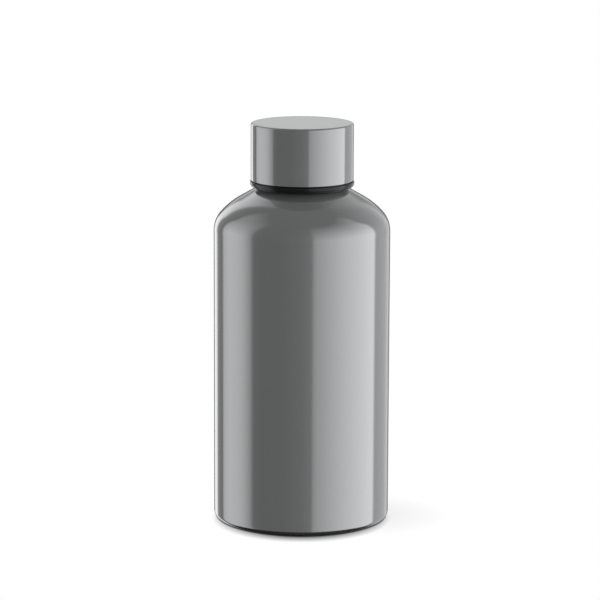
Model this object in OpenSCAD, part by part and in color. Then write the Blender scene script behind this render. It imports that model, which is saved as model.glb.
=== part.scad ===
// Camping fuel bottle: a one-piece aluminium shell with a metal-clad screw cap.
// Sizes are in millimetres. The origin is the centre of the base, on the surface it stands on.

/* [Bottle body] */
// Outside diameter of the body
body_d = 73; // [60:0.5:90]
// Height at which the wall's line would meet the shoulder's lower slope
wall_h = 125.8; // [90:0.2:200]
// Thickness of the wall and the shoulder
wall_t = 1.0; // [0.6:0.1:1.6]
// Radius of the edge between the wall and the base
base_edge_r = 2.6; // [2:0.1:5]

/* [Base] */
// Width of the flat ring that the bottle stands on
foot_w = 2.6; // [1.5:0.1:5]
// Thickness of the foot, under the ring
foot_t = 1.4; // [1:0.1:2.4]
// Radius of the foot's inner edge
foot_edge_r = 2; // [1:0.1:3]
// Rise of the dished base at its centre
dish_rise = 4.5; // [2:0.1:8]
// Slope of the side of the dish above the horizontal
dish_slope = 28; // [20:1:45]
// Radius between the side of the dish and its flat centre
dish_r = 26; // [10:1:40]
// Thickness of the dished base
base_t = 1.6; // [1:0.1:2.5]

/* [Shoulder] */
// Width of the shoulder's lower, steeper slope, measured from the wall inwards
slope_w = 6.2; // [5:0.1:9]
// Angle of the lower slope above the horizontal
lower_slope = 48; // [42:1:55]
// Angle of the upper slope above the horizontal
upper_slope = 30; // [25:1:38]
// Radius between the wall and the lower slope
wall_shoulder_r = 11; // [6:0.5:14]
// Radius between the two slopes
mid_shoulder_r = 30; // [15:1:35]
// Radius between the upper slope and the neck
neck_root_r = 4.6; // [2:0.1:5.5]

/* [Neck] */
// Outside diameter of the neck, at the root of its thread
neck_d = 36; // [30:0.5:44]
// Thickness of the neck's wall
neck_t = 1.5; // [1:0.1:2.2]
// Radius of the two edges of the rim
rim_r = 0.45; // [0.2:0.05:0.6]
// Height of the middle of the rolled bead above the neck's foot
bead_up = 5; // [4:0.5:7]
// Width of the rolled bead along the neck
bead_w = 3.6; // [2.4:0.1:4.5]
// How far the rolled bead stands out of the neck, before its crest is rounded
bead_out = 0.9; // [0.4:0.05:1]
// Radius of the bead's crest and of its two roots
bead_r = 1; // [0.5:0.1:1.5]

/* [Cap fit] */
// Depth of the thread on the neck and in the cap
thread_depth = 1.0; // [0.6:0.1:1.2]
// Gap between the crest of one thread and the root of the other
thread_gap = 0.4; // [0.2:0.05:0.6]
// Gap between the lower edge of the cap and the root of the neck
shoulder_gap = 0.45; // [0.3:0.05:1]
// Gap between the plug and the seal around it
seal_gap = 0.1; // [0.05:0.05:0.2]
// Gap between the metal shell and the grip ribs of the core
press_gap = 0.05; // [0.02:0.01:0.1]

/* [Cap shell] */
// Thickness of the metal shell
shell_t = 0.5; // [0.4:0.05:0.8]
// Height of the metal shell
shell_h = 23.6; // [18:0.1:30]
// Radius of the shell's top edge
shell_edge_r = 0.8; // [0.6:0.05:2]
// Radius of the shell's trimmed lower edge
shell_trim_r = 0.15; // [0.05:0.05:0.2]

/* [Cap core] */
// Thickness of the core's threaded skirt
skirt_t = 1.0; // [0.8:0.1:1.6]
// How far the grip ribs stand out of the skirt
grip_out = 0.25; // [0.15:0.05:0.4]
// Width of a grip rib
grip_w = 0.8; // [0.5:0.1:1.2]
// Number of grip ribs around the skirt
grip_count = 24; // [12:1:36]
// Height of the black flange under the metal shell
flange_h = 2.6; // [2:0.1:4]
// How far the flange stands out past the metal shell
flange_out = 0.3; // [0:0.05:0.5]
// Radius of the flange's lower edge
flange_edge_r = 1.9; // [0.6:0.1:2]
// Shadow gap between the metal shell and the flange
shadow_gap = 0.4; // [0.2:0.05:0.8]
// Thickness of the disc that closes the core
disc_t = 1.6; // [1.2:0.1:2.4]
// Height of the ribs between the disc and the metal top
rib_h = 2.1; // [1.2:0.1:4]
// Thickness of those ribs and of their hub ring
rib_t = 1.0; // [0.8:0.1:1.4]
// Number of radial ribs
rib_count = 8; // [6:1:16]
// Outside diameter of the hub ring
hub_d = 12; // [8:0.5:16]

/* [Plug and seal] */
// Gap between the plug and the mouth of the bottle
plug_gap = 1.1; // [0.9:0.1:1.6]
// Thickness of the plug's wall
plug_t = 1.5; // [1:0.1:2]
// Depth of the plug below the rim of the bottle
plug_drop = 2.6; // [2.2:0.1:5]
// How far the bead that keeps the seal on stands out of the plug
keeper_out = 0.4; // [0.2:0.05:0.5]
// Thickness of the seal
seal_t = 2.0; // [1.4:0.1:3]
// How far the seal reaches out past the neck
seal_over = 0.7; // [0.2:0.1:0.9]
// Radius of the seal's edges
seal_edge_r = 0.4; // [0.2:0.05:0.6]

/* [Hidden] */
$fn = 180;

// Largest gap between a rounding's true arc and the short straight pieces that draw it
arc_gap = 0.004;
// Share of a side that the roundings at its two ends may take together
side_share = 0.98;
// Radius on moulded edges that nothing else sizes
mould_r = 0.3;
// Least radius inside a rounded edge of the shell
inner_r = 0.3;
// Overlap that makes two solids of one piece into one
bite = 0.2;

// Radii
body_r = body_d / 2;
neck_r = neck_d / 2;
mouth_r = neck_r - neck_t;
dish_edge_r = body_r - base_edge_r - foot_w;
dish_flat_r = dish_edge_r - dish_rise / tan(dish_slope);
core_bore_r = neck_r + thread_depth + thread_gap;
skirt_r = core_bore_r + skirt_t;
shell_in_r = skirt_r + grip_out + press_gap;
shell_r = shell_in_r + shell_t;
flange_r = shell_r + flange_out;
plug_r = mouth_r - plug_gap;
plug_in_r = plug_r - plug_t;
seal_in_r = plug_r + seal_gap;
seal_out_r = neck_r + seal_over;

// Height of the shoulder's upper slope, or of the neck's root, at radius r
function slope_z(r) = wall_h + slope_w * tan(lower_slope) + (break_r - r) * tan(upper_slope);
function shoulder_z(r) =
    let (reach = neck_root_r * tan((90 - upper_slope) / 2))
    r > neck_r + reach * cos(upper_slope) ? slope_z(r)
    : slope_z(neck_r) + reach - sqrt(pow(neck_root_r, 2) - pow(neck_r + neck_root_r - r, 2));

// Heights, from the base up to the top of the cap
break_r = body_r - slope_w;
break_z = slope_z(break_r);
neck_z = slope_z(neck_r);
bead_z = neck_z + bead_up;
flange_z = shoulder_z(core_bore_r) + shoulder_gap;
flange_top_z = flange_z + flange_h;
shell_z = flange_top_z + shadow_gap;
cap_top_z = shell_z + shell_h;

// Heights inside the cap, from its top down to the rim that the seal meets
shell_in_z = cap_top_z - shell_t;
pan_z = shell_in_z - rib_h;
disc_z = pan_z - disc_t;
rim_z = disc_z - seal_t;
plug_z = rim_z - plug_drop;
keeper_z = rim_z - mould_r - keeper_out;

function unit(v) = v / norm(v);
function left_of(v) = [-v[1], v[0]];
function cross_of(u, v) = u[0] * v[1] - u[1] * v[0];
function spot(corner) = [corner[0], corner[1]];

// An outline is a list of corners [x, y, radius] with the material on the left.
function following(corners, i) = (i + 1) % len(corners);
function preceding(corners, i) = (i + len(corners) - 1) % len(corners);
// Direction of the side that leaves corner i
function side(corners, i) = unit(spot(corners[following(corners, i)]) - spot(corners[i]));
// Signed angle by which the outline turns at corner i
function turn(corners, i) =
    let (u = side(corners, preceding(corners, i)), v = side(corners, i))
    atan2(cross_of(u, v), u * v);

// How far along its two sides the rounding of corner i wants to reach
function wanted(corners, i) =
    corners[i][2] == 0 ? 0 : corners[i][2] * tan(abs(turn(corners, i)) / 2);
// How much of what both of its ends want fits on the side that leaves corner i
function side_fit(corners, i) =
    let (
        j = following(corners, i),
        both = wanted(corners, i) + wanted(corners, j),
        room = side_share * norm(spot(corners[j]) - spot(corners[i]))
    )
    both <= room ? 1 : room / both;
function reach(corners, i) =
    wanted(corners, i) * min(side_fit(corners, preceding(corners, i)), side_fit(corners, i));
// Points of the rounding of corner i, or the corner itself where its radius is 0
function rounding(corners, i) =
    corners[i][2] == 0 ? [spot(corners[i])]
    : let (
        angle = turn(corners, i),
        u = side(corners, preceding(corners, i)),
        r = reach(corners, i) / tan(abs(angle) / 2),
        start = spot(corners[i]) - reach(corners, i) * u,
        spoke = -sign(angle) * r * left_of(u),
        steps = max(2, ceil(abs(angle) / (2 * acos(1 - arc_gap / r))))
    )
    [for (k = [0 : steps])
        let (a = angle * k / steps)
        start - spoke + spoke * cos(a) + left_of(spoke) * sin(a)];

// A flat outline with its corners rounded
module outline(corners) {
    polygon([for (i = [0 : len(corners) - 1]) each rounding(corners, i)]);
}

// Outside of the bottle from the centre of the base up to the rim
outside = [
    [0, dish_rise, 0],
    [dish_flat_r, dish_rise, dish_r],
    [dish_edge_r, 0, foot_edge_r],
    [body_r, 0, base_edge_r],
    [body_r, wall_h, wall_shoulder_r],
    [break_r, break_z, mid_shoulder_r],
    [neck_r, neck_z, neck_root_r],
    [neck_r, rim_z, rim_r],
];
// Thickness of the metal behind each side of the outside
metal_t = [base_t, base_t, foot_t, wall_t, wall_t, wall_t, neck_t];

// Corner i of the inside, where the two sides that meet at corner i of the outside
// cross once each has moved in by its thickness
function inside(i) =
    let (
        u = side(outside, i - 1),
        v = side(outside, i),
        angle = turn(outside, i),
        thick = max(metal_t[i - 1], metal_t[i]),
        p = spot(outside[i]) + (metal_t[i - 1] * v - metal_t[i] * u) / cross_of(u, v)
    )
    [p[0], p[1], max(inner_r, outside[i][2] - sign(angle) * thick)];

module bottle_shell() {
    last = len(outside) - 1;
    bead = [
        [neck_r, bead_z - bead_w / 2, bead_r],
        [neck_r + bead_out, bead_z, bead_r],
        [neck_r, bead_z + bead_w / 2, bead_r],
    ];
    color("#9c9d9f")
    rotate_extrude()
        outline(concat(
            [for (i = [0 : last - 1]) outside[i]],
            bead,
            [outside[last], [mouth_r, rim_z, rim_r]],
            [for (i = [last - 1 : -1 : 1]) inside(i)],
            [[0, dish_rise + base_t, 0]]
        ));
}

// Deep-drawn cover of the cap
module cap_shell() {
    color("#a5a6a8")
    rotate_extrude()
        outline([
            [0, shell_in_z, 0],
            [shell_in_r, shell_in_z, shell_edge_r - shell_t],
            [shell_in_r, shell_z, shell_trim_r],
            [shell_r, shell_z, shell_trim_r],
            [shell_r, cap_top_z, shell_edge_r],
            [0, cap_top_z, 0],
        ]);
}

// Section of the moulded core: plug, seal seat, threaded bore, flange and skirt
module core_section() {
    outline([
        [0, disc_z, 0],
        [plug_in_r, disc_z, 2 * mould_r],
        [plug_in_r, plug_z, mould_r],
        [plug_r, plug_z, mould_r],
        [plug_r, keeper_z - keeper_out, 0],
        [plug_r + keeper_out, keeper_z, mould_r],
        [plug_r, keeper_z + keeper_out, 0],
        [plug_r, disc_z, 0],
        [core_bore_r, disc_z, mould_r],
        [core_bore_r, flange_z, mould_r],
        [flange_r, flange_z, flange_edge_r],
        [flange_r, flange_top_z, mould_r],
        [skirt_r, flange_top_z, 0],
        [skirt_r, shell_in_z, shell_edge_r],
        [skirt_r - rib_t, shell_in_z, mould_r],
        [skirt_r - rib_t, pan_z, mould_r],
        [0, pan_z, 0],
    ]);
}

// Ribs on the outside of the skirt that grip the metal shell
module grip_ribs() {
    low_z = flange_top_z + flange_h;
    for (i = [0 : grip_count - 1])
        rotate(i * 360 / grip_count)
            translate([skirt_r - bite, -grip_w / 2, low_z])
                cube([bite + grip_out, grip_w, disc_z - low_z]);
}

// Ribs on the disc that hold up the metal top
module top_ribs() {
    hub_r = hub_d / 2;
    rim_in_r = skirt_r - rib_t;
    translate([0, 0, pan_z - bite])
    difference() {
        cylinder(r = hub_r, h = rib_h + bite);
        translate([0, 0, -bite]) cylinder(r = hub_r - rib_t, h = rib_h + 3 * bite);
    }
    for (i = [0 : rib_count - 1])
        rotate(i * 360 / rib_count)
            translate([hub_r - rib_t / 2, -rib_t / 2, pan_z - bite])
                cube([rim_in_r - hub_r + rib_t / 2 + bite, rib_t, rib_h + bite]);
}

module cap_core() {
    color("#161617") {
        rotate_extrude() core_section();
        grip_ribs();
        top_ribs();
    }
}

// Ring that the cap presses onto the rim of the neck
module cap_seal() {
    color("#2b2b2d")
    rotate_extrude()
        outline([
            [seal_in_r, rim_z, seal_edge_r],
            [seal_out_r, rim_z, seal_edge_r],
            [seal_out_r, disc_z, seal_edge_r],
            [seal_in_r, disc_z, seal_edge_r],
        ]);
}

echo(overall_height = cap_top_z, cap_diameter = 2 * shell_r, mouth_diameter = 2 * mouth_r);

bottle_shell();
cap_shell();
cap_core();
cap_seal();
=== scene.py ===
import math

import bpy
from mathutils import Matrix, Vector


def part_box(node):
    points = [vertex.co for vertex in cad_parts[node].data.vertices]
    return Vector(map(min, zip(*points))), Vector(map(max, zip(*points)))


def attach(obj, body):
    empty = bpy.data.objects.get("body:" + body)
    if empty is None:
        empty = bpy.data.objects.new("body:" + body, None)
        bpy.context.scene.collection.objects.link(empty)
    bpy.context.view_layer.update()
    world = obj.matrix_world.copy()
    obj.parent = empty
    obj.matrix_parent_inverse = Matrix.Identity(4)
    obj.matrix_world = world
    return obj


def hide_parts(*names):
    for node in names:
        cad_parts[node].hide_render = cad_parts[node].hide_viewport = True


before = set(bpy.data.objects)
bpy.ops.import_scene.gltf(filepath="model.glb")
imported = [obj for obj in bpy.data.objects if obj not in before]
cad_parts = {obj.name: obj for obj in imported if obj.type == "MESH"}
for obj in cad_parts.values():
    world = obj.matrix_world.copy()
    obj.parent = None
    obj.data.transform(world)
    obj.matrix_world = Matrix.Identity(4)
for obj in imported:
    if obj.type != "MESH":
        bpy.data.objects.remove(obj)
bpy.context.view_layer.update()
print("frame loaded:", sorted(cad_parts))

mm = 0.001  # every size below is written in millimetres


# sRGB hex to the linear colour that a shader socket takes
def hexColour(text):
    channels = [int(text[i:i + 2], 16) / 255 for i in (1, 3, 5)]
    linear = [c / 12.92 if c <= 0.04045 else ((c + 0.055) / 1.055) ** 2.4 for c in channels]
    return (*linear, 1.0)


# adds one node with its own settings; an input is either a value or another node's output
def addNode(tree, kind, inputs=None, **settings):
    node = tree.nodes.new(kind)
    for key, value in settings.items():
        setattr(node, key, value)
    for key, value in (inputs or {}).items():
        if isinstance(value, bpy.types.NodeSocket):
            tree.links.new(value, node.inputs[key])
        else:
            node.inputs[key].default_value = value
    return node


def newMaterial(name):
    material = bpy.data.materials.new(name)
    material.use_nodes = True
    material.node_tree.nodes.clear()
    return material, material.node_tree


def dress(piece, material):
    piece.data.materials.clear()
    piece.data.materials.append(material)


# a long lens from a little above the cap, which sees the bottle's outline as the photo has it
camera = {
    "distance": 1235 * mm,  # from the bottle's axis, along the ground
    "height": 330.5 * mm,
    "pitch": 10.9,  # degrees below level
    "roll": 0.2,  # degrees, the bottle's top leans to the right
    "lens": 181.6,
    "sensor": 36,
    "nearest": 0.05,  # metres
    "farthest": 20,
    "straightAhead": (301.75, 298.3),  # the pixel that the lens points at
    "pictureSize": 600,
}


def makeCamera():
    data = bpy.data.cameras.new("camera")
    data.lens = camera["lens"]
    data.sensor_width = camera["sensor"]
    data.clip_start = camera["nearest"]
    data.clip_end = camera["farthest"]
    middle = camera["pictureSize"] / 2
    data.shift_x = (middle - camera["straightAhead"][0]) / camera["pictureSize"]
    data.shift_y = (camera["straightAhead"][1] - middle) / camera["pictureSize"]
    eye = bpy.data.objects.new("camera", data)
    bpy.context.scene.collection.objects.link(eye)
    eye.location = (0, -camera["distance"], camera["height"])
    eye.rotation_mode = "ZXY"  # the roll comes first, round the camera's own line of sight
    eye.rotation_euler = (math.radians(90 - camera["pitch"]), 0, math.radians(camera["roll"]))
    bpy.context.scene.camera = eye
    print("camera placed")


makeCamera()

turned = {
    "arcGap": 0.002,  # how far a round corner may lie inside its true arc
    "leastArcSteps": 3,
    "mergeBelow": 0.002,
    "smoothBelow": 35,  # degrees between two faces that still shade as one
}


# points of an outline whose corners are (radius, height, rounding)
def roundedOutline(corners):
    points = []
    last = len(corners) - 1
    for i, (x, z, rounding) in enumerate(corners):
        here = Vector((x, z))
        if rounding == 0 or i in (0, last):
            points.append(here)
            continue
        arriving = (here - Vector(corners[i - 1][:2])).normalized()
        leaving = (Vector(corners[i + 1][:2]) - here).normalized()
        angle = math.atan2(arriving.x * leaving.y - arriving.y * leaving.x, arriving.dot(leaving))
        start = here - arriving * rounding * math.tan(abs(angle) / 2)
        spoke = Vector((arriving.y, -arriving.x)) * math.copysign(rounding, angle)
        stepAngle = 2 * math.acos(1 - turned["arcGap"] / rounding)
        steps = max(turned["leastArcSteps"], math.ceil(abs(angle) / stepAngle))
        for k in range(steps + 1):
            a = angle * k / steps
            swung = Vector((spoke.x * math.cos(a) - spoke.y * math.sin(a),
                            spoke.x * math.sin(a) + spoke.y * math.cos(a)))
            points.append(start - spoke + swung)
    return points


# long straight stretches get rings of their own, so that smooth shading stays true
def withRings(points, spacing):
    filled = [points[0]]
    for a, b in zip(points, points[1:]):
        pieces = max(1, round((b - a).length / spacing))
        filled += [a.lerp(b, k / pieces) for k in range(1, pieces + 1)]
    return filled


# a new piece that is one point so far, left open in edit mode
def startPoint(name, x, z):
    bpy.ops.object.select_all(action="DESELECT")
    bpy.ops.mesh.primitive_plane_add(size=mm, location=(x * mm, 0, z * mm))
    piece = bpy.context.object
    piece.name = name
    piece.data.name = name
    bpy.ops.object.transform_apply(location=True)
    bpy.ops.object.mode_set(mode="EDIT")
    bpy.ops.mesh.select_mode(type="VERT")
    bpy.ops.mesh.select_all(action="SELECT")
    bpy.ops.mesh.merge(type="CENTER")
    return piece


# draws on from the point that is selected
def drawOutline(points):
    for a, b in zip(points, points[1:]):
        move = ((b[0] - a[0]) * mm, 0, (b[1] - a[1]) * mm)
        bpy.ops.mesh.extrude_vertices_move(TRANSFORM_OT_translate={"value": move})


def smoothShade():
    bpy.ops.object.shade_smooth_by_angle(angle=math.radians(turned["smoothBelow"]))


# spins an outline round the bottle's axis
def lathe(name, points, steps):
    piece = startPoint(name, *points[0])
    drawOutline(points)
    bpy.ops.mesh.select_all(action="SELECT")
    bpy.ops.mesh.spin(steps=steps, angle=2 * math.pi, center=(0, 0, 0), axis=(0, 0, 1))
    bpy.ops.mesh.select_all(action="SELECT")
    bpy.ops.mesh.remove_doubles(threshold=turned["mergeBelow"] * mm)
    bpy.ops.mesh.normals_make_consistent(inside=False)
    bpy.ops.object.mode_set(mode="OBJECT")
    smoothShade()
    return piece


thread = {
    "lead": 4,  # lift in one turn, right-hand
    "stepsPerTurn": 96,
    "runOut": 1 / 6,  # part of a turn over which a ridge rises out of its wall
    "thinnestEnd": 0.04,  # share of the ridge's height that is left at its very ends
    "sunk": 0.1,  # how deep a ridge's root lies in the wall, so that no slit shows
    "rootWidth": 2.6,
    "crestWidth": 1.1,
    "turns": 2,
}


# a ridge wound as a helix, whose ends run out into the wall that carries it
def threadRidge(name, ridge):
    halfRoot = thread["rootWidth"] / 2
    halfCrest = thread["crestWidth"] / 2
    low = ridge["startHeight"]
    profile = [
        (ridge["root"], low - halfRoot),
        (ridge["crest"], low - halfCrest),
        (ridge["crest"], low + halfCrest),
        (ridge["root"], low + halfRoot),
    ]
    piece = startPoint(name, *profile[0])
    drawOutline(profile)
    bpy.ops.mesh.select_all(action="SELECT")
    bpy.ops.mesh.edge_face_add()
    bpy.ops.mesh.delete(type="ONLY_FACE")
    bpy.ops.object.mode_set(mode="OBJECT")
    screw = piece.modifiers.new("thread", "SCREW")
    screw.angle = 2 * math.pi * thread["turns"]
    screw.screw_offset = thread["lead"] * mm * thread["turns"]
    screw.steps = round(thread["stepsPerTurn"] * thread["turns"])
    screw.render_steps = screw.steps
    screw.use_merge_vertices = False
    bpy.ops.object.modifier_apply(modifier="thread")
    runOutEnds(piece, len(profile), ridge["root"] * mm)
    bpy.ops.object.mode_set(mode="EDIT")
    bpy.ops.mesh.select_all(action="DESELECT")
    bpy.ops.mesh.select_mode(type="EDGE")
    bpy.ops.mesh.select_non_manifold()
    bpy.ops.mesh.fill_holes(sides=len(profile))
    bpy.ops.mesh.select_all(action="SELECT")
    bpy.ops.mesh.normals_make_consistent(inside=False)
    # with no window this operator turns the other way
    bpy.ops.transform.rotate(value=-math.radians(ridge["startAngle"]), orient_axis="Z",
                             center_override=(0, 0, 0))
    bpy.ops.object.mode_set(mode="OBJECT")
    if not facesOutward(piece):
        bpy.ops.object.mode_set(mode="EDIT")
        bpy.ops.mesh.select_all(action="SELECT")
        bpy.ops.mesh.flip_normals()
        bpy.ops.object.mode_set(mode="OBJECT")
    smoothShade()
    return piece


# the screw modifier lays its copies of the profile down one after another; those near the two
# ends are pulled back towards the root
def runOutEnds(piece, size, root):
    vertices = piece.data.vertices
    rows = [vertices[i:i + size] for i in range(0, len(vertices), size)]
    fade = thread["stepsPerTurn"] * thread["runOut"]
    for row, copies in enumerate(rows):
        share = min(1, row / fade, (len(rows) - 1 - row) / fade)
        share = max(thread["thinnestEnd"], math.sin(share * math.pi / 2))
        for vertex in copies:
            radius = math.hypot(vertex.co.x, vertex.co.y)
            wanted = root + (radius - root) * share
            vertex.co.x *= wanted / radius
            vertex.co.y *= wanted / radius


# a closed piece whose faces point outwards holds a volume above nought
def facesOutward(piece):
    return sum(face.center.dot(face.normal) * face.area for face in piece.data.polygons) > 0


# radii and heights of the impact-extruded bottle, from its base to its rim
bottle = {
    "radius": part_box("bottle_shell")[1].x / mm,
    "rim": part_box("bottle_shell")[1].z / mm,
    "wall": 1.0,
    "baseEdge": 2.6,
    "footWidth": 2.6,
    "footThickness": 1.4,
    "footEdge": 2.0,
    "dishRise": 4.5,
    "dishSlope": 28,  # degrees
    "dishRound": 26,
    "baseThickness": 1.6,
    "wallHeight": 125.8,
    "slopeWidth": 6.2,
    "lowerSlope": 48,  # degrees
    "upperSlope": 30,  # degrees
    "shoulderRound": 11,
    "middleRound": 30,
    "neckRadius": 18,
    "neckRound": 4.6,
    "neckThickness": 1.5,
    "beadUp": 5,
    "beadWidth": 3.6,
    "beadOut": 0.9,
    "beadRound": 1,
    "rimRound": 0.45,
    "leastInnerRound": 0.3,
    "ringSpacing": 6,
    "steps": 256,
    "threadHeight": 149.4,
    "threadDepth": 1,
}


def tangent(degrees):
    return math.tan(math.radians(degrees))


# the inside follows the outside at the thickness of each side
def innerCorners(outside):
    corners = []
    for before, here, after in zip(outside, outside[1:], outside[2:]):
        arriving = (Vector(here[:2]) - Vector(before[:2])).normalized()
        leaving = (Vector(after[:2]) - Vector(here[:2])).normalized()
        crossed = arriving.x * leaving.y - arriving.y * leaving.x
        corner = Vector(here[:2]) + (before[3] * leaving - here[3] * arriving) / crossed
        thickness = math.copysign(max(before[3], here[3]), crossed)
        corners.append((corner.x, corner.y, max(bottle["leastInnerRound"], here[2] - thickness)))
    return corners


def makeBottle():
    b = bottle
    neck = b["neckRadius"]
    mouth = neck - b["neckThickness"]
    dishEdge = b["radius"] - b["baseEdge"] - b["footWidth"]
    dishFlat = dishEdge - b["dishRise"] / tangent(b["dishSlope"])
    breakRadius = b["radius"] - b["slopeWidth"]
    breakHeight = b["wallHeight"] + b["slopeWidth"] * tangent(b["lowerSlope"])
    neckHeight = breakHeight + (breakRadius - neck) * tangent(b["upperSlope"])
    bead = neckHeight + b["beadUp"]
    # radius, height, rounding of the corner, thickness of the side that follows it
    outside = [
        (0, b["dishRise"], 0, b["baseThickness"]),
        (dishFlat, b["dishRise"], b["dishRound"], b["baseThickness"]),
        (dishEdge, 0, b["footEdge"], b["footThickness"]),
        (b["radius"], 0, b["baseEdge"], b["wall"]),
        (b["radius"], b["wallHeight"], b["shoulderRound"], b["wall"]),
        (breakRadius, breakHeight, b["middleRound"], b["wall"]),
        (neck, neckHeight, b["neckRound"], b["neckThickness"]),
        (neck, b["rim"], b["rimRound"], 0),
    ]
    beadCorners = [
        (neck, bead - b["beadWidth"] / 2, b["beadRound"]),
        (neck + b["beadOut"], bead, b["beadRound"]),
        (neck, bead + b["beadWidth"] / 2, b["beadRound"]),
    ]
    corners = [corner[:3] for corner in outside[:-1]] + beadCorners + [outside[-1][:3]]
    corners += [(mouth, b["rim"], b["rimRound"])] + innerCorners(outside)[::-1]
    corners += [(0, b["dishRise"] + b["baseThickness"], 0)]
    shell = lathe("bottleShell", withRings(roundedOutline(corners), b["ringSpacing"]), b["steps"])
    ridge = threadRidge("neckThread", {
        "root": neck - thread["sunk"],
        "crest": neck + b["threadDepth"],
        "startHeight": b["threadHeight"],
        "startAngle": 0,
    })
    bpy.ops.object.select_all(action="DESELECT")
    ridge.select_set(True)
    shell.select_set(True)
    bpy.context.view_layer.objects.active = shell
    bpy.ops.object.join()
    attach(shell, "bottle")
    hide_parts("bottle_shell")
    print("bottle shell:", len(shell.data.polygons), "faces")
    return shell


# the deep-drawn metal cover of the cap
capCover = {
    "radius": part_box("cap_shell")[1].x / mm,
    "bottom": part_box("cap_shell")[0].z / mm,
    "top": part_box("cap_shell")[1].z / mm,
    "thickness": 0.5,
    "topRound": 0.8,
    "trimRound": 0.15,
    "ringSpacing": 3,
    "steps": 256,
}


def makeCapCover():
    c = capCover
    innerRadius = c["radius"] - c["thickness"]
    innerTop = c["top"] - c["thickness"]
    corners = [
        (0, innerTop, 0),
        (innerRadius, innerTop, c["topRound"] - c["thickness"]),
        (innerRadius, c["bottom"], c["trimRound"]),
        (c["radius"], c["bottom"], c["trimRound"]),
        (c["radius"], c["top"], c["topRound"]),
        (0, c["top"], 0),
    ]
    cover = lathe("capCover", withRings(roundedOutline(corners), c["ringSpacing"]), c["steps"])
    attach(cover, "cap")
    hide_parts("cap_shell")
    print("cap cover:", len(cover.data.polygons), "faces")
    return cover


# the ridge inside the moulded core, whose bore the core's own node has plain
capBore = {
    "radius": 19.4,
    "threadHeight": 149.0,
    "threadDepth": 1,
    "startAngle": 144,  # puts its turns half a lead from the neck's
}


def makeCapThread():
    ridge = threadRidge("capThread", {
        "root": capBore["radius"] + thread["sunk"],
        "crest": capBore["radius"] - capBore["threadDepth"],
        "startHeight": capBore["threadHeight"],
        "startAngle": capBore["startAngle"],
    })
    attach(ridge, "cap")
    print("cap thread:", len(ridge.data.polygons), "faces")
    return ridge


# aluminium sprayed with a grey metallic lacquer: a mirror over a grey that is never quite black,
# a little softened by the flakes
lacquer = {
    "darkFlake": "#b9babb",
    "lightFlake": "#c2c3c4",
    "flakeSize": 0.6,  # real flakes are far finer; these are drawn so that they just show
    "flakeDetail": 3.0,
    "metallic": 0.65,
    "sharpest": 0.07,
    "softest": 0.10,
}


def lacqueredAluminium():
    material, tree = newMaterial("lacqueredAluminium")
    place = addNode(tree, "ShaderNodeTexCoord")
    flake = addNode(tree, "ShaderNodeTexNoise", {
        "Vector": place.outputs["Object"],
        "Scale": 1 / (lacquer["flakeSize"] * mm),
        "Detail": lacquer["flakeDetail"],
    })
    tone = addNode(tree, "ShaderNodeMix", {
        "Factor": flake.outputs["Fac"],
        "A": hexColour(lacquer["darkFlake"]),
        "B": hexColour(lacquer["lightFlake"]),
    }, data_type="RGBA")
    roughness = addNode(tree, "ShaderNodeMapRange", {
        "Value": flake.outputs["Fac"],
        "To Min": lacquer["sharpest"],
        "To Max": lacquer["softest"],
    })
    shader = addNode(tree, "ShaderNodeBsdfPrincipled", {
        "Base Color": tone.outputs["Result"],
        "Metallic": lacquer["metallic"],
        "Roughness": roughness.outputs["Result"],
    })
    addNode(tree, "ShaderNodeOutputMaterial", {"Surface": shader.outputs["BSDF"]})
    return material


# aluminium polished before its grey lacquer: the cap mirrors more sharply than the body
polish = {
    "colour": "#bcbdbe",
    "cloudSize": 8,  # the polish is uneven in slow clouds
    "cloudDetail": 2.0,
    "metallic": 0.65,
    "sharpest": 0.03,
    "softest": 0.05,
}


def polishedAluminium():
    material, tree = newMaterial("polishedAluminium")
    place = addNode(tree, "ShaderNodeTexCoord")
    cloud = addNode(tree, "ShaderNodeTexNoise", {
        "Vector": place.outputs["Object"],
        "Scale": 1 / (polish["cloudSize"] * mm),
        "Detail": polish["cloudDetail"],
    })
    roughness = addNode(tree, "ShaderNodeMapRange", {
        "Value": cloud.outputs["Fac"],
        "To Min": polish["sharpest"],
        "To Max": polish["softest"],
    })
    shader = addNode(tree, "ShaderNodeBsdfPrincipled", {
        "Base Color": hexColour(polish["colour"]),
        "Metallic": polish["metallic"],
        "Roughness": roughness.outputs["Result"],
    })
    addNode(tree, "ShaderNodeOutputMaterial", {"Surface": shader.outputs["BSDF"]})
    return material


# a moulded skin without metal: one colour, one gloss, and a fine relief
def mouldedSkin(name, skin):
    material, tree = newMaterial(name)
    place = addNode(tree, "ShaderNodeTexCoord")
    grain = addNode(tree, "ShaderNodeTexNoise", {
        "Vector": place.outputs["Object"],
        "Scale": 1 / (skin["grainSize"] * mm),
        "Detail": skin["grainDetail"],
    })
    relief = addNode(tree, "ShaderNodeBump", {
        "Height": grain.outputs["Fac"],
        "Strength": skin["reliefStrength"],
        "Distance": skin["reliefDepth"] * mm,
    })
    shader = addNode(tree, "ShaderNodeBsdfPrincipled", {
        "Base Color": hexColour(skin["colour"]),
        "Roughness": skin["roughness"],
        "IOR": skin["ior"],
        "Normal": relief.outputs["Normal"],
    })
    addNode(tree, "ShaderNodeOutputMaterial", {"Surface": shader.outputs["BSDF"]})
    return material


# polypropylene from a polished mould: deep black, clean highlights, slow waves in the skin
polypropylene = {
    "colour": "#070708",
    "roughness": 0.12,
    "ior": 1.49,
    "grainSize": 1.5,
    "grainDetail": 2.0,
    "reliefStrength": 0.05,
    "reliefDepth": 0.02,
}

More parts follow.
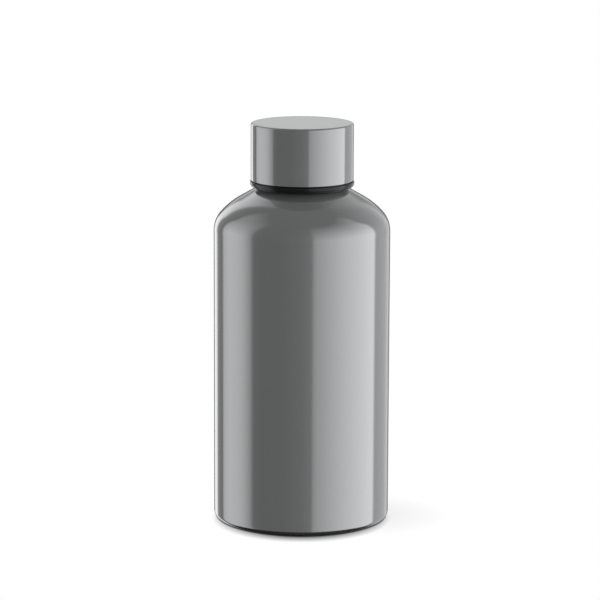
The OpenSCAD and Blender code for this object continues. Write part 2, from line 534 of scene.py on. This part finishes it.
# nitrile rubber from a blasted mould: dark grey, matt, an even fine grain
nitrile = {
    "colour": "#262628",
    "roughness": 0.62,
    "ior": 1.52,
    "grainSize": 0.3,
    "grainDetail": 4.0,
    "reliefStrength": 0.3,
    "reliefDepth": 0.03,
}

bottleShell = makeBottle()
coverOfCap = makeCapCover()
ridgeOfCap = makeCapThread()
blackPlastic = mouldedSkin("mouldedPolypropylene", polypropylene)
dress(bottleShell, lacqueredAluminium())
dress(coverOfCap, polishedAluminium())
dress(ridgeOfCap, blackPlastic)
dress(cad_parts["cap_core"], blackPlastic)
dress(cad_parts["cap_seal"], mouldedSkin("mouldedNitrile", nitrile))
print("materials set")

# the studio that the metal mirrors: dark cards and softboxes at bearings in degrees round the
# bottle, 0 at the camera and 90 at the right, each with its brightness; they were worked out
# from where the photo's bottle turns from dark to bright, and from how bright it is there
studio = {
    "round": [
        (-180, 0.10), (-165, 0.12), (-160, 1.50), (-149, 1.50), (-143, 0.40), (-128, 0.26),
        (-123, 0.90), (-110, 1.10), (-95, 1.06), (-84, 0.94), (-72, 0.60), (-66, 0.25),
        (-56, 0.21), (-25, 0.21), (0, 0.25), (13, 0.32), (16, 0.60), (22, 0.71),
        (60, 1.15), (98, 1.50), (108, 1.55), (113, 0.60), (120, 0.64), (140, 0.70),
        (156, 0.90), (165, 0.20), (180, 0.10),
    ],
    "ceiling": 0.18,
    "wallsUpTo": 5,  # degrees above level, from where the walls fade into the ceiling
    "ceilingFrom": 65,
    "backdrop": 0.72,  # the lit sheet behind the bottle, which the flat top of the cap mirrors
    "backdropSides": (0.92, 0.97),  # how squarely behind, from none of the sheet to all of it
    "backdropFoot": (0.05, 0.11),  # and how high
    "darkFrom": -32,  # degrees below level, from where the room fades to black
    "darkAll": -43,  # and from where it is black
}


def makeWorld():
    world = bpy.data.worlds.new("studio")
    bpy.context.scene.world = world
    world.use_nodes = True
    tree = world.node_tree
    tree.nodes.clear()
    direction = addNode(tree, "ShaderNodeTexCoord")
    parts = addNode(tree, "ShaderNodeSeparateXYZ", {"Vector": direction.outputs["Generated"]})
    toCamera = addNode(tree, "ShaderNodeMath", {0: parts.outputs["Y"], 1: -1.0}, operation="MULTIPLY")
    bearing = addNode(tree, "ShaderNodeMath", {0: parts.outputs["X"], 1: toCamera.outputs[0]},
                      operation="ARCTAN2")
    share = addNode(tree, "ShaderNodeMapRange", {
        "Value": bearing.outputs[0],
        "From Min": -math.pi,
        "From Max": math.pi,
    })
    walls = addNode(tree, "ShaderNodeFloatCurve", {"Value": share.outputs["Result"]})
    brightest = max(level for _, level in studio["round"])
    shapeWalls(walls.mapping, [((angle + 180) / 360, level / brightest)
                               for angle, level in studio["round"]])
    wallLevel = addNode(tree, "ShaderNodeMath", {0: walls.outputs[0], 1: brightest},
                        operation="MULTIPLY")
    height = addNode(tree, "ShaderNodeMath", {0: parts.outputs["Z"]}, operation="ARCSINE")
    up = addNode(tree, "ShaderNodeMapRange", {
        "Value": height.outputs[0],
        "From Min": math.radians(studio["wallsUpTo"]),
        "From Max": math.radians(studio["ceilingFrom"]),
    })
    roomLevel = addNode(tree, "ShaderNodeMix", {
        "Factor": up.outputs["Result"],
        "A": wallLevel.outputs[0],
        "B": studio["ceiling"],
    }, data_type="FLOAT")
    behind = addNode(tree, "ShaderNodeMapRange", {
        "Value": parts.outputs["Y"],
        "From Min": studio["backdropSides"][0],
        "From Max": studio["backdropSides"][1],
    })
    above = addNode(tree, "ShaderNodeMapRange", {
        "Value": parts.outputs["Z"],
        "From Min": studio["backdropFoot"][0],
        "From Max": studio["backdropFoot"][1],
    })
    sheet = addNode(tree, "ShaderNodeMath", {
        0: behind.outputs["Result"],
        1: above.outputs["Result"],
    }, operation="MULTIPLY")
    litLevel = addNode(tree, "ShaderNodeMix", {
        "Factor": sheet.outputs[0],
        "A": roomLevel.outputs["Result"],
        "B": studio["backdrop"],
    }, data_type="FLOAT")
    down = addNode(tree, "ShaderNodeMapRange", {
        "Value": parts.outputs["Z"],
        "From Min": math.sin(math.radians(studio["darkAll"])),
        "From Max": math.sin(math.radians(studio["darkFrom"])),
    })
    level = addNode(tree, "ShaderNodeMath", {
        0: litLevel.outputs["Result"],
        1: down.outputs["Result"],
    }, operation="MULTIPLY")
    room = addNode(tree, "ShaderNodeBackground", {"Color": (1, 1, 1, 1), "Strength": level.outputs[0]})
    white = addNode(tree, "ShaderNodeBackground", {"Color": (1, 1, 1, 1), "Strength": 1.0})
    ray = addNode(tree, "ShaderNodeLightPath")
    seen = addNode(tree, "ShaderNodeMixShader", {
        0: ray.outputs["Is Camera Ray"],  # the camera sees plain white, the metal sees the room
        1: room.outputs["Background"],
        2: white.outputs["Background"],
    })
    addNode(tree, "ShaderNodeOutputWorld", {"Surface": seen.outputs["Shader"]})
    print("studio walls lit")


# straight lines between the given points; a new curve already has its first and last
def shapeWalls(mapping, points):
    curve = mapping.curves[0]
    curve.points[0].location = points[0]
    curve.points[1].location = points[-1]
    for place in points[1:-1]:
        curve.points.new(*place)
    for point in curve.points:
        point.handle_type = "VECTOR"
    mapping.update()


# white paper, on which the bottle's shadow is painted and not cast: dark under the bottle and a
# little towards the camera, faint at the right
ground = {
    "width": 6,  # metres
    "paper": "#505050",  # what the bottle's foot is lit by, grey because the bottle shades it
    "paintedShadowUnderBottle": {
        "middle": (0, -5),
        "halfWidth": 37.4,
        "halfDepth": 39.5,
        "from": 0.74,  # share of those sizes where it starts to fade
        "darkest": 0,
    },
    "paintedShadowAtRight": {
        "middle": (16, 0),
        "halfWidth": 46,
        "halfDepth": 36,
        "from": 0.35,
        "darkest": 0.85,
    },
    "paintedContactShadowReach": 0.8,  # how far the painted contact shadow, a thin dark line round the foot, reaches
    "contactSamples": 16,
}


# a painted shadow: an oval on the ground, dark in its middle and fading to 1 at its edge
def ovalShadow(tree, place, oval):
    fromMiddle = addNode(tree, "ShaderNodeVectorMath", {
        0: place.outputs["Object"],
        1: (-oval["middle"][0] * mm, -oval["middle"][1] * mm, 0),
    }, operation="ADD")
    inOvals = addNode(tree, "ShaderNodeVectorMath", {
        0: fromMiddle.outputs[0],
        1: (1 / (oval["halfWidth"] * mm), 1 / (oval["halfDepth"] * mm), 0),
    }, operation="MULTIPLY")
    outward = addNode(tree, "ShaderNodeVectorMath", {0: inOvals.outputs[0]}, operation="LENGTH")
    fade = addNode(tree, "ShaderNodeMapRange", {
        "Value": outward.outputs["Value"],
        "From Min": oval["from"],
        "From Max": 1.0,
        "To Min": oval["darkest"],
        "To Max": 1.0,
    })
    return fade.outputs["Result"]


def paperWithPaintedShadow():
    material, tree = newMaterial("paperWithPaintedShadow")
    place = addNode(tree, "ShaderNodeTexCoord")
    # painted contact shadow: occlusion darkens the paper's glow round the foot
    contact = addNode(tree, "ShaderNodeAmbientOcclusion", {
        "Distance": ground["paintedContactShadowReach"] * mm,
    }, samples=ground["contactSamples"])
    nearLevel = addNode(tree, "ShaderNodeMath", {
        0: contact.outputs["AO"],
        1: ovalShadow(tree, place, ground["paintedShadowUnderBottle"]),
    }, operation="MULTIPLY")
    level = addNode(tree, "ShaderNodeMath", {
        0: nearLevel.outputs[0],
        1: ovalShadow(tree, place, ground["paintedShadowAtRight"]),
    }, operation="MULTIPLY")
    # the paper glows white for the camera, dimmed where the painted shadows lie
    glow = addNode(tree, "ShaderNodeEmission", {"Color": (1, 1, 1, 1), "Strength": level.outputs[0]})
    paper = addNode(tree, "ShaderNodeBsdfDiffuse", {"Color": hexColour(ground["paper"])})
    ray = addNode(tree, "ShaderNodeLightPath")
    seen = addNode(tree, "ShaderNodeMixShader", {
        0: ray.outputs["Is Camera Ray"],  # the bottle sees grey paper with no shadow drawn on it
        1: paper.outputs["BSDF"],
        2: glow.outputs["Emission"],
    })
    side = addNode(tree, "ShaderNodeNewGeometry")
    clear = addNode(tree, "ShaderNodeBsdfTransparent")
    oneSided = addNode(tree, "ShaderNodeMixShader", {
        0: side.outputs["Backfacing"],  # clear from below, so that the base can be looked at
        1: seen.outputs["Shader"],
        2: clear.outputs["BSDF"],
    })
    addNode(tree, "ShaderNodeOutputMaterial", {"Surface": oneSided.outputs["Shader"]})
    return material


def makeGround():
    bpy.ops.object.select_all(action="DESELECT")
    bpy.ops.mesh.primitive_plane_add(size=ground["width"], location=(0, 0, 0))
    sheet = bpy.context.object
    sheet.name = "ground"
    dress(sheet, paperWithPaintedShadow())
    sheet.visible_glossy = False  # the walls of the bottle mirror the room and not the ground
    print("ground laid")


makeWorld()
makeGround()

bpy.context.scene.view_settings.view_transform = "Standard"
